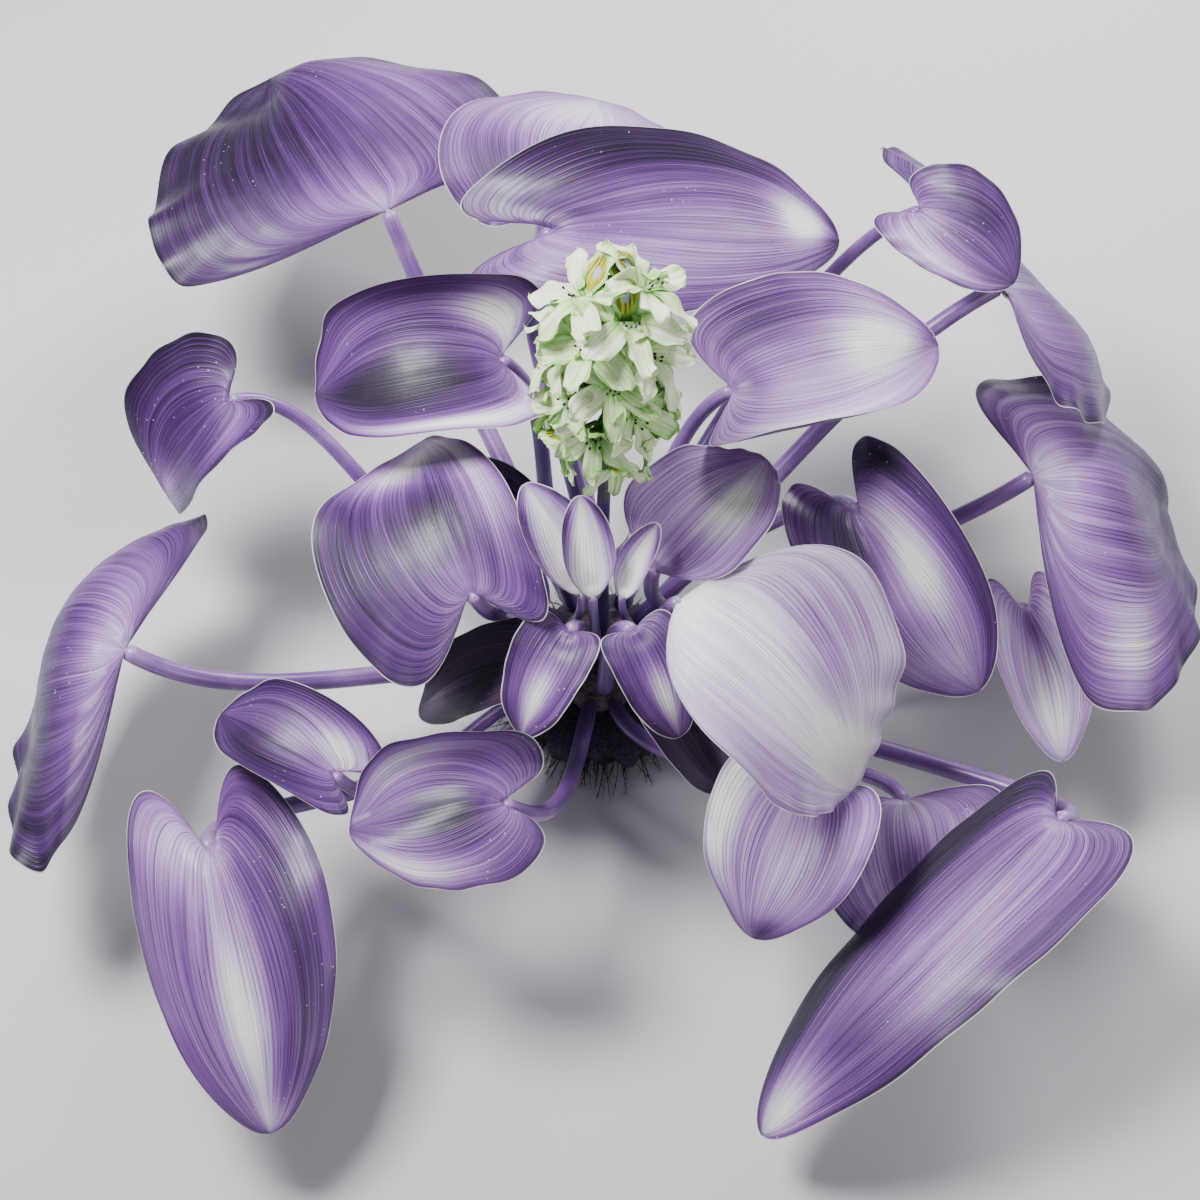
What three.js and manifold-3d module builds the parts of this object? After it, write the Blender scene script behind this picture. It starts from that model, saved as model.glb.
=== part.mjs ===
// A water hyacinth in flower, whole, standing on the flat underside of its root clump.
// Millimetres, +Z up. The origin is on the surface it rests on, on the axis of the crown.
import * as THREE from "three";
import { mergeGeometries, mergeVertices } from "three/addons/utils/BufferGeometryUtils.js";
import Module from "manifold-3d";

const wasm = await Module();
wasm.setup();

// Driving dimensions.
const GAP = 0.4; // between pieces that touch
const ROOT_RADIUS = 86;
const ROOT_HEIGHT = 30;
const CROWN_RADIUS = 34;
const CROWN_CENTRE = 42; // height of the centre of the dome that the stalks leave from
const BLADE_THICKNESS = 1.4;
const STALK_FLARE = 1.08; // width of a stalk at the crown, times its width at the blade
const HEAD_FROM = 0.78; // part of the flower stalk below the lowest floret
const FLORET_COUNT = 26;
const FIRST_FLORET = -30; // turn of the lowest floret round the flower stalk
const FLORET_LENGTH = 43;
const FLORET_RADIUS = 17.5;
const LOWEST_FLORET = 0.6; // size of the lowest floret, times the size of the top one

// Where the stalks leave the dome: angle from straight up, number of places, angle of the first.
const RINGS = {
  outer: { tilt: 78, places: 15, first: 20 },
  middle: { tilt: 50, places: 12, first: 4 },
  inner: { tilt: 26, places: 6, first: 30 },
};

// What a leaf has unless it says otherwise. Angles are in degrees.
const COMMON_LEAF = {
  roll: 0, // turn about its own length
  spread: 150, // how far round the stalk's end the blade reaches, each side
  lobe: 0.35, // length of the lobes behind the stalk's end, times the blade's length
  tip: 0.08, // how far the tip is drawn out
  cup: [30, 30], // how far the left and right halves bend up
  funnel: 0, // how much more it is cupped at the stalk's end
  skew: 0, // how much wider the left half is than the right one
  curl: 30, // how far the tip bends down
  wave: 2, // height of the waves along the margin
  waves: 2,
  rise: 45, // angle between the stalk's end and the blade
  radius: 5, // of the stalk, at the blade
};

// base is the point where the stalk meets the blade, and from is the ring and place on the dome.
const LEAVES = {
  leaf_behind_flower: {
    base: [-26, 180, 262], from: ["middle", 3], heading: 2, pitch: 8, roll: 12, length: 185,
    width: 115, curl: 40, cup: [30, -15], spread: 160, lobe: 0.4, wave: 4, radius: 6,
  },
  leaf_left_cupped: {
    base: [-62, 92, 250], from: ["middle", 4], heading: 183, pitch: 5, roll: -5, length: 120,
    width: 125, curl: 45, cup: [35, 105], spread: 125, lobe: 0.4,
  },
  leaf_left_broad: {
    base: [-76, -50, 219], from: ["middle", 5], heading: 118, pitch: 21, roll: -22, length: 123,
    width: 123, curl: 60, cup: [30, 15], spread: 135, lobe: 0.5, wave: 4, waves: 1.5, skew: 0.25,
  },
  leaf_left_under: {
    base: [-40, -16, 189], from: ["middle", 6], heading: 128, pitch: 0, length: 110, width: 70,
    cup: [50, 50], curl: 20,
  },
  leaf_centre_round: {
    base: [33, -30, 215], from: ["middle", 0], heading: 47, pitch: 21, length: 100, width: 83,
    cup: [25, 25], curl: 40, spread: 80,
  },
  leaf_front_broad: {
    base: [48, -60, 222], from: ["middle", 11], heading: -36, pitch: 8, roll: -5, length: 165,
    width: 160, cup: [25, 25], curl: 80, spread: 72, funnel: 1, lobe: 0.4,
  },
  leaf_right: {
    base: [156, 24, 185], from: ["middle", 1], heading: -62, pitch: -5, roll: 25, length: 135,
    width: 100, cup: [40, 40], curl: 45,
  },
  leaf_right_cupped: {
    base: [82, 82, 232], from: ["middle", 2], heading: 8, pitch: 12, roll: 25, length: 125,
    width: 120, cup: [5, 95], curl: 15, spread: 120,
  },
  leaf_back: {
    base: [-35, 279, 170], from: ["outer", 3], heading: 70, pitch: 15, length: 95, width: 165,
    cup: [20, 20], spread: 160, radius: 6,
  },
  leaf_back_right_small: {
    base: [204, 221, 228], from: ["outer", 2], heading: -40, pitch: 5, roll: 10, length: 75,
    width: 75, curl: 40,
  },
  leaf_back_left_fan: {
    base: [-143, 275, 170], from: ["outer", 4], heading: 122, pitch: 5, length: 180, width: 290,
    cup: [-15, -30], curl: 35, spread: 92, tip: 0.02, lobe: 0.6, wave: 5, waves: 3, radius: 6,
  },
  leaf_right_fan: {
    base: [276, 75, 150], from: ["outer", 0], heading: 12, pitch: 0, length: 140, width: 270,
    cup: [-45, -25], curl: 75, spread: 110, tip: 0.02, lobe: 0.5, wave: 4, skew: -0.2, radius: 6,
  },
  leaf_left_fan: {
    base: [-290, -50, 150], from: ["outer", 7], heading: 165, pitch: -5, length: 110, width: 280,
    cup: [-25, -40], curl: 90, spread: 110, lobe: 0.5, wave: 4, radius: 6,
  },
  leaf_front_left_long: {
    base: [-225, -180, 140], from: ["outer", 9], heading: -72, pitch: -5, roll: -10, length: 170,
    width: 115, cup: [0, -60], curl: 45, lobe: 0.45, wave: 5, radius: 5.8,
  },
  leaf_front_right_long: {
    base: [265, -160, 140], from: ["outer", 13], heading: -142, pitch: -5, roll: 15, length: 255,
    width: 110, cup: [-10, -50], curl: 35, spread: 110, lobe: 0.3, radius: 6,
  },
  leaf_front_right_fan: {
    base: [185, -128, 94], from: ["outer", 12], heading: -85, pitch: -10, length: 95, width: 125,
    cup: [30, 30], curl: 30, spread: 100, lobe: 0.5,
  },
  leaf_front_right_heart: {
    base: [120, -141, 136], from: ["outer", 11], heading: -112, pitch: 0, length: 95, width: 100,
    curl: 60, tip: 0.2, spread: 120,
  },
  leaf_front_folded: {
    base: [-58, -159, 165], from: ["outer", 10], heading: -175, pitch: 5, roll: 10, length: 90,
    width: 100, cup: [-60, 110],
  },
  leaf_left_small: {
    base: [-158, -132, 150], from: ["outer", 8], heading: 147, pitch: 5, length: 85, width: 75,
    cup: [60, 60], radius: 4.5,
  },
  leaf_centre_left: {
    base: [-19, -71, 205], from: ["middle", 8], heading: -120, pitch: -10, length: 70, width: 47,
    curl: 55, spread: 100,
  },
  leaf_centre_right: {
    base: [20, -72, 206], from: ["middle", 9], heading: -60, pitch: -10, length: 70, width: 48,
    curl: 55, spread: 100,
  },
  leaf_far_left: {
    base: [-238, 118, 166], from: ["outer", 6], heading: -148, pitch: -25, length: 85, width: 110,
    cup: [50, 50], curl: 50,
  },
  leaf_far_right: {
    base: [268, -3, 110], from: ["outer", 14], heading: -79, pitch: 0, length: 98, width: 60,
  },
  leaf_low_left: {
    base: [-46, -67, 158], from: ["middle", 7], heading: -174, pitch: -20, length: 81, width: 60,
    cup: [40, 40],
  },
  leaf_low_right: {
    base: [38, -84, 165], from: ["middle", 10], heading: -49, pitch: -25, length: 80, width: 60,
    cup: [40, 40],
  },
  leaf_back_right_fan: {
    base: [258, 186, 200], from: ["outer", 1], heading: 25, pitch: -35, length: 120, width: 250,
    cup: [-15, -15], curl: 45, spread: 115, lobe: 0.5, skew: 0.2, radius: 6,
  },
  young_leaf_left: {
    base: [-11, -51, 221], from: ["inner", 3], heading: 123, pitch: 38, length: 69, width: 41,
    cup: [50, 50], curl: 15, spread: 60, wave: 0, radius: 3,
  },
  young_leaf_middle: {
    base: [-4, -54, 222], from: ["inner", 4], heading: 100, pitch: 44, length: 57, width: 34,
    cup: [60, 60], curl: 10, spread: 60, wave: 0, radius: 3,
  },
  young_leaf_right: {
    base: [13, -53, 221], from: ["inner", 5], heading: 57, pitch: 40, length: 45, width: 22,
    cup: [60, 60], curl: 10, spread: 60, wave: 0, radius: 2.5,
  },
};

const rad = THREE.MathUtils.degToRad;

// Finishes.
const finish = (color, roughness) => new THREE.MeshStandardMaterial({ color, roughness });
const LEAF_FINISH = finish("#9176ad", 0.35);
const YOUNG_LEAF_FINISH = finish("#cbc7d5", 0.4);
const PETAL_FINISH = finish("#dfe9d3", 0.5);
const STALK_FINISH = finish("#7c6194", 0.4);
const CROWN_FINISH = finish("#564a54", 0.6);
const ROOT_FINISH = finish("#2a2230", 0.8);

// Position only, with shared vertices merged, so that the surface closes.
function welded(geometry) {
  const bare = new THREE.BufferGeometry();
  bare.setAttribute("position", geometry.getAttribute("position"));
  bare.setIndex(geometry.index);
  return mergeVertices(bare, 1e-4);
}

function toSolid(geometry) {
  const closed = welded(geometry);
  const vertProperties = new Float32Array(closed.getAttribute("position").array);
  const triVerts = new Uint32Array(closed.index.array);
  return new wasm.Manifold(new wasm.Mesh({ numProp: 3, vertProperties, triVerts }));
}

function toGeometry(solid) {
  const mesh = solid.getMesh();
  const geometry = new THREE.BufferGeometry();
  geometry.setAttribute("position", new THREE.BufferAttribute(mesh.vertProperties, 3));
  geometry.setIndex(new THREE.BufferAttribute(mesh.triVerts, 1));
  geometry.computeVertexNormals();
  return geometry;
}

function namedMesh(name, geometry, material) {
  const mesh = new THREE.Mesh(geometry, material);
  mesh.name = name;
  return mesh;
}

// Moves every vertex of a geometry to the point that place(x, y, z) gives.
function reshape(geometry, place) {
  const position = geometry.getAttribute("position");
  for (let i = 0; i < position.count; i++) {
    const p = place(position.getX(i), position.getY(i), position.getZ(i));
    position.setXYZ(i, p.x, p.y, p.z);
  }
  return geometry;
}

// The blade's own axes: along its length, to its left, and up from its face.
function leafAxes(leaf) {
  const heading = rad(leaf.heading);
  const pitch = rad(leaf.pitch);
  const flat = Math.cos(pitch);
  const along = new THREE.Vector3(Math.cos(heading) * flat, Math.sin(heading) * flat, Math.sin(pitch));
  const left = new THREE.Vector3(-Math.sin(heading), Math.cos(heading), 0);
  left.applyAxisAngle(along, rad(leaf.roll));
  return { along, left, up: along.clone().cross(left) };
}

// Distance of the margin from the stalk's end, theta round from the tip, for a blade 1 long.
function marginRadius(leaf, theta) {
  const heart = leaf.lobe + (1 - leaf.lobe) * Math.cos(theta / 2) ** 2;
  const point = leaf.tip * Math.exp(-((theta / 0.28) ** 2));
  const notch = 1 - (theta / rad(leaf.spread)) ** 20;
  return ((heart + point) / (1 + leaf.tip)) * notch;
}

// Half the width of the unscaled margin, which leaf.width is measured against.
function marginHalfWidth(leaf) {
  let widest = 0;
  for (let i = 0; i <= 100; i++) {
    const theta = (rad(leaf.spread) * i) / 100;
    widest = Math.max(widest, marginRadius(leaf, theta) * Math.sin(theta));
  }
  return widest;
}

// A leaf's settings, with its axes and its width worked out.
function leafFrom(settings) {
  const leaf = { ...COMMON_LEAF, ...settings };
  leaf.axes = leafAxes(leaf);
  leaf.halfWidth = marginHalfWidth(leaf);
  return leaf;
}

// A point of the blade: u runs from the stalk's end to the tip, v from the right margin, -1,
// to the left one, 1. The lines of equal v are the leaf's veins.
function bladePoint(leaf, u, v) {
  const theta = rad(leaf.spread) * (1 - u);
  const reach = marginRadius(leaf, theta);
  const side = Math.abs(v);
  const toMargin = side ** 1.6;
  const edgeX = leaf.length * reach * Math.cos(theta);
  const edgeY = ((leaf.width / 2) * reach * Math.sin(theta)) / leaf.halfWidth;
  const overlap = 4 * (1 - u) ** 3; // the blade starts inside the end of the stalk
  const x = (1 - toMargin) * leaf.length * u + toMargin * edgeX - overlap;
  const y = v * (edgeY * (1 + leaf.skew * Math.sign(v)) + 3 * (1 - u) + 0.3);

  const deeper = 1 + leaf.funnel * (1 - THREE.MathUtils.clamp(x / leaf.length, 0, 1));
  const cup = rad(v > 0 ? leaf.cup[0] : leaf.cup[1]) * deeper || 0.001;
  const cupRadius = leaf.width / 2 / cup;
  const across = cupRadius * Math.sin(y / cupRadius);
  const ripple = Math.sin(2 * Math.PI * leaf.waves * u + 1.7 * Math.sign(v)) * Math.sin(Math.PI * u);
  const lift = cupRadius * (1 - Math.cos(y / cupRadius)) + leaf.wave * side ** 3 * ripple;

  const curlRadius = leaf.length / rad(leaf.curl);
  const bend = x / curlRadius;
  const forward = (curlRadius + lift) * Math.sin(bend);
  const upward = (curlRadius + lift) * Math.cos(bend) - curlRadius;
  return new THREE.Vector3(...leaf.base)
    .addScaledVector(leaf.axes.along, forward)
    .addScaledVector(leaf.axes.left, across)
    .addScaledVector(leaf.axes.up, upward);
}

// The upper face's direction at a point of the blade.
function bladeNormal(leaf, u, v) {
  const step = 0.01;
  const ahead = bladePoint(leaf, Math.min(u + step, 1), v);
  const behind = bladePoint(leaf, Math.max(u - step, 0), v);
  const leftward = bladePoint(leaf, u, Math.min(v + step, 1));
  const rightward = bladePoint(leaf, u, Math.max(v - step, -1));
  return ahead.sub(behind).cross(leftward.sub(rightward)).normalize();
}

// Two sheets with the same quads, which meet along the whole margin.
function bladeSolid(leaf, along, across) {
  const sheet = (side) =>
    reshape(new THREE.PlaneGeometry(1, 1, across, along), (x, y) => {
      const u = y + 0.5;
      const v = -2 * x;
      const thickness = Math.min(1, 6 * u * (1 - u)) * (1 - v ** 4) * BLADE_THICKNESS;
      return bladePoint(leaf, u, v).addScaledVector(bladeNormal(leaf, u, v), (side * thickness) / 2);
    });
  const upper = sheet(1);
  const lower = sheet(-1);
  const index = lower.index.array;
  for (let i = 0; i < index.length; i += 3) {
    [index[i + 1], index[i + 2]] = [index[i + 2], index[i + 1]];
  }
  return toSolid(mergeGeometries([upper, lower]));
}

// A closed round tube along a curve, radiusAt(s) thick, from s = 0 to s = 1.
function tube(curve, radiusAt, sides, steps) {
  const frames = curve.computeFrenetFrames(steps);
  return reshape(new THREE.CylinderGeometry(1, 1, 1, sides, steps), (x, y, z) => {
    const i = Math.round((y + 0.5) * steps);
    const s = i / steps;
    return curve
      .getPointAt(s)
      .addScaledVector(frames.normals[i], x * radiusAt(s))
      .addScaledVector(frames.binormals[i], -z * radiusAt(s));
  });
}

// A point of the dome that stalks leave from, and the direction that it faces.
function domePlace(ringName, place) {
  const ring = RINGS[ringName];
  const turn = rad(ring.first + (360 * place) / ring.places);
  const flat = Math.sin(rad(ring.tilt));
  const facing = new THREE.Vector3(Math.cos(turn) * flat, Math.sin(turn) * flat, Math.cos(rad(ring.tilt)));
  const point = facing.clone().multiplyScalar(CROWN_RADIUS + GAP);
  point.z += CROWN_CENTRE;
  return { point, facing };
}

function stalkSolid(leaf) {
  const { point, facing } = domePlace(...leaf.from);
  const end = new THREE.Vector3(...leaf.base);
  const distance = end.distanceTo(point);
  const arriving = leaf.axes.along
    .clone()
    .multiplyScalar(Math.cos(rad(leaf.rise)))
    .addScaledVector(leaf.axes.up, Math.sin(rad(leaf.rise)));
  const curve = new THREE.CubicBezierCurve3(
    point,
    point.clone().addScaledVector(facing, 0.4 * distance),
    end.clone().addScaledVector(arriving, -0.3 * distance),
    end,
  );
  const radiusAt = (s) => leaf.radius * THREE.MathUtils.lerp(STALK_FLARE, 0.9, s);
  return toSolid(tube(curve, radiusAt, 6, 5));
}

// A leaf grew as one piece: the blade and its stalk are one solid.
function makeLeaf(name, settings) {
  const leaf = leafFrom(settings);
  const young = name.startsWith("young");
  const blade = young ? bladeSolid(leaf, 5, 4) : bladeSolid(leaf, 6, 6);
  const material = young ? YOUNG_LEAF_FINISH : LEAF_FINISH;
  return namedMesh(name, toGeometry(blade.add(stalkSolid(leaf))), material);
}

// One floret, opening along +Z: a thin tube that widens into six tepals.
function floretGeometry(size) {
  const profile = [
    [0, 0],
    [2.4, 0.42],
    [FLORET_RADIUS, 1],
    [0, 0.62],
  ].map(([radius, height]) => new THREE.Vector2(radius, height * FLORET_LENGTH).multiplyScalar(size));
  const turned = new THREE.LatheGeometry(profile, 12);
  return welded(
    reshape(turned, (x, y, z) => {
      const round = Math.atan2(z, x);
      const notch = Math.hypot(x, z) > 3 ? 0.86 + 0.14 * Math.cos(6 * round) : 1;
      return new THREE.Vector3(x * notch, -z * notch, y);
    }),
  );
}

function makeFlorets(curve) {
  const group = new THREE.Group();
  const up = new THREE.Vector3(0, 0, 1);
  for (let i = 0; i < FLORET_COUNT; i++) {
    const height = (i + 0.5) / FLORET_COUNT; // 0 at the lowest floret, 1 at the top
    const s = THREE.MathUtils.lerp(HEAD_FROM, 0.985, height);
    const axis = curve.getTangent(s);
    const lift = rad(THREE.MathUtils.lerp(-40, 62, height ** 0.8));
    const sideways = new THREE.Vector3(1, 0, 0).cross(axis).normalize().cross(axis).normalize();
    sideways.applyAxisAngle(axis, rad(137.5 * i + FIRST_FLORET));
    const facing = sideways.multiplyScalar(Math.cos(lift)).addScaledVector(axis, Math.sin(lift));
    const size = THREE.MathUtils.lerp(LOWEST_FLORET, 1, Math.sqrt(height));
    const name = "floret_" + String(i + 1).padStart(2, "0");
    const floret = namedMesh(name, floretGeometry(size), PETAL_FINISH);
    floret.position.copy(curve.getPoint(s)).addScaledVector(facing, 5.5 / Math.cos(lift));
    floret.quaternion.setFromUnitVectors(up, facing);
    group.add(floret);
  }
  return group;
}

// The flower stalk rises from the middle of the crown and leans back through the flower head.
const flowerCurve = new THREE.CubicBezierCurve3(
  new THREE.Vector3(0, 0, CROWN_CENTRE + CROWN_RADIUS + GAP),
  new THREE.Vector3(0, -8, 165),
  new THREE.Vector3(2, -12, 258),
  new THREE.Vector3(6, 38, 358),
);

function makeFlowerStalk() {
  const radiusAt = (s) => THREE.MathUtils.lerp(6, 2.5, s);
  return namedMesh("flower_stalk", welded(tube(flowerCurve, radiusAt, 6, 9)), STALK_FINISH);
}

// The spathe stands on the front of the flower stalk, just under the lowest florets.
function makeSpathe() {
  const spathe = leafFrom({
    base: [2, -11, 196], heading: -90, pitch: 64, length: 45, width: 39,
    cup: [70, 70], spread: 75, tip: 0.3, wave: 0,
  });
  return namedMesh("spathe", toGeometry(bladeSolid(spathe, 5, 4)), STALK_FINISH);
}

// The crown is a dome whose flat underside lies on the root clump.
function makeCrown() {
  const bottom = ROOT_HEIGHT + GAP;
  const lowest = Math.acos((bottom - CROWN_CENTRE) / CROWN_RADIUS);
  const profile = [new THREE.Vector2(0, bottom)];
  const steps = 6;
  for (let i = steps; i >= 0; i--) {
    const tilt = (lowest * i) / steps;
    const height = CROWN_CENTRE + CROWN_RADIUS * Math.cos(tilt);
    profile.push(new THREE.Vector2(CROWN_RADIUS * Math.sin(tilt), height));
  }
  return upright("crown", profile, 15, CROWN_FINISH);
}

// The root clump is a low mat with a flat underside.
function makeRootClump() {
  const profile = [
    [0, 0],
    [0.97, 0],
    [1, 0.2],
    [0.94, 0.55],
    [0.75, 0.86],
    [0.45, 1],
    [0, 1],
  ].map(([radius, height]) => new THREE.Vector2(radius * ROOT_RADIUS, height * ROOT_HEIGHT));
  return upright("root_clump", profile, 20, ROOT_FINISH);
}

// A solid turned about Z.
function upright(name, profile, sides, material) {
  const turned = new THREE.LatheGeometry(profile, sides);
  const standing = reshape(turned, (x, y, z) => new THREE.Vector3(x, -z, y));
  return namedMesh(name, welded(standing), material);
}

const plant = new THREE.Group();
plant.add(makeRootClump(), makeCrown(), makeFlowerStalk(), makeSpathe(), makeFlorets(flowerCurve));
for (const [name, settings] of Object.entries(LEAVES)) plant.add(makeLeaf(name, settings));

export default plant;
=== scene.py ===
import math
import random
import bmesh
import bpy
import numpy as np
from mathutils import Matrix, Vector


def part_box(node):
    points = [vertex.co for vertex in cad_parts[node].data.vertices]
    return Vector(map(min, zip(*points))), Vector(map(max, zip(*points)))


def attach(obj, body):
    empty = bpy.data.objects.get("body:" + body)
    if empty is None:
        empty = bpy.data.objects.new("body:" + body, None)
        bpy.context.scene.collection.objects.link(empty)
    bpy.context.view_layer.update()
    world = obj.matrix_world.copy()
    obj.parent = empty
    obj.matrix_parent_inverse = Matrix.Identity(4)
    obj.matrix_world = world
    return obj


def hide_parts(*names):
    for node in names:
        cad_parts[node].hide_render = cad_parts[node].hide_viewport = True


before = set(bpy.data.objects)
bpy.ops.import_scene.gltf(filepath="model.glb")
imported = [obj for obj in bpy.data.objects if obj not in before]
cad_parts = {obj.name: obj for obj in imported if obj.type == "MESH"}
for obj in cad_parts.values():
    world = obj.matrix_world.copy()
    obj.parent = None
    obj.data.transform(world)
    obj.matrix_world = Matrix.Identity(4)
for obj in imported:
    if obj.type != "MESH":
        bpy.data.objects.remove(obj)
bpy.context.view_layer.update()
mm = 0.001

# A water hyacinth in flower, stood on its root clump. Settings are in millimetres and degrees,
# apart from the camera's and the lights', which are in metres.
view = {"lens": 70, "distance": 1.458, "target": (0, 0, 0.12), "elevation": 60}


def addToScene(name, data):
    item = bpy.data.objects.new(name, data)
    bpy.context.collection.objects.link(item)
    return item


def addCamera():
    camera = addToScene("camera", bpy.data.cameras.new("camera"))
    camera.data.lens = view["lens"]
    rise = math.radians(view["elevation"])
    away = Vector((0, -math.cos(rise), math.sin(rise)))
    camera.location = Vector(view["target"]) + away * view["distance"]
    camera.rotation_euler = away.to_track_quat("Z", "Y").to_euler()
    bpy.context.scene.camera = camera


softboxes = {
    "key": {"place": (-0.65, 0.2, 1.4), "size": 0.5, "power": 37},
    "fill": {"place": (1.1, -0.9, 1.0), "size": 1.0, "power": 8},
    "back": {"place": (0.6, 1.1, 0.95), "size": 0.5, "power": 22},
}
room = {"colour": (0.62, 0.62, 0.68, 1), "strength": 0.31}


def addLights():
    for name, box in softboxes.items():
        light = bpy.data.lights.new(name, "AREA")
        light.energy = box["power"]
        light.size = box["size"]
        lamp = addToScene(name, light)
        lamp.location = box["place"]
        away = Vector(box["place"]) - Vector(view["target"])
        lamp.rotation_euler = away.to_track_quat("Z", "Y").to_euler()
    world = bpy.data.worlds.new("studio")
    world.use_nodes = True
    world.node_tree.nodes["Background"].inputs["Color"].default_value = room["colour"]
    world.node_tree.nodes["Background"].inputs["Strength"].default_value = room["strength"]
    bpy.context.scene.world = world


def linear(hexColour):
    channels = [int(hexColour[i:i + 2], 16) / 255 for i in (1, 3, 5)]
    return [c / 12.92 if c <= 0.04045 else ((c + 0.055) / 1.055) ** 2.4 for c in channels] + [1]


def newMaterial(name):
    material = bpy.data.materials.new(name)
    material.use_nodes = True
    return material, material.node_tree, material.node_tree.nodes["Principled BSDF"]


# Each input takes a value or another node's output. A colour ramp also takes its stops. By number,
# a Map Range takes the value at 0, its range at 1 and 2 and the new range at 3 and 4, and a Mix takes
# the second colour's share at 0 and the two colours at 6 and 7.
def addNode(tree, kind, inputs, output=0, stops=(), **settings):
    node = tree.nodes.new("ShaderNode" + kind)
    for key, value in settings.items():
        setattr(node, key, value)
    for key, value in inputs.items():
        if isinstance(value, bpy.types.NodeSocket):
            tree.links.new(value, node.inputs[key])
        else:
            node.inputs[key].default_value = value
    for number, (position, colour) in enumerate(stops):
        if number > 1:
            node.color_ramp.elements.new(position)
        node.color_ramp.elements[number].position = position
        node.color_ramp.elements[number].color = linear(colour)
    return node.outputs[output]


def patternScale(size):  # of a texture on Object coordinates, for a grain of this many millimetres
    return 1 / (size * mm)


# Every fine mesh carries a flow attribute: across the piece and along it, in millimetres, then a
# number of the piece's own. Patterns that follow veins and fibres are drawn on it.
def flowScale(size):  # for a pattern of this size across the veins and along them
    across, along = size
    return (1 / across, 1 / along, 1)


leafLook = {
    "veinSpacing": 2.5,  # between the darker parallel veins
    "veinFade": (16.7, 33.3),  # the length over which veins come and go, across and along
    "fineSpacing": 0.9,  # between the hair veins, drawn as coarse as they need to show
    "bands": (5, 111),  # broad streaks of tissue, across and along
    "streaks": (1.053, 91),  # narrow ones
    "mottle": 16.7,  # of the gloss and the surface
    "dustSpacing": 5.26,
    "dustPatches": 45.5,  # size of the areas that have dust
    "tones": [(0.0, "#20142c"), (0.2, "#4b2c66"), (0.4, "#7c5399"), (0.6, "#a888c2"), (0.8, "#d3c3df"),
              (1.0, "#faf6f2")],
    "veins": "#301743",
    "underside": [(0.0, "#1c151f"), (0.35, "#4a3a50"), (0.65, "#84748a"), (1.0, "#e2d9d6")],
    "rim": "#ece2f0",
    "dust": "#f2eef6",
}


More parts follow.
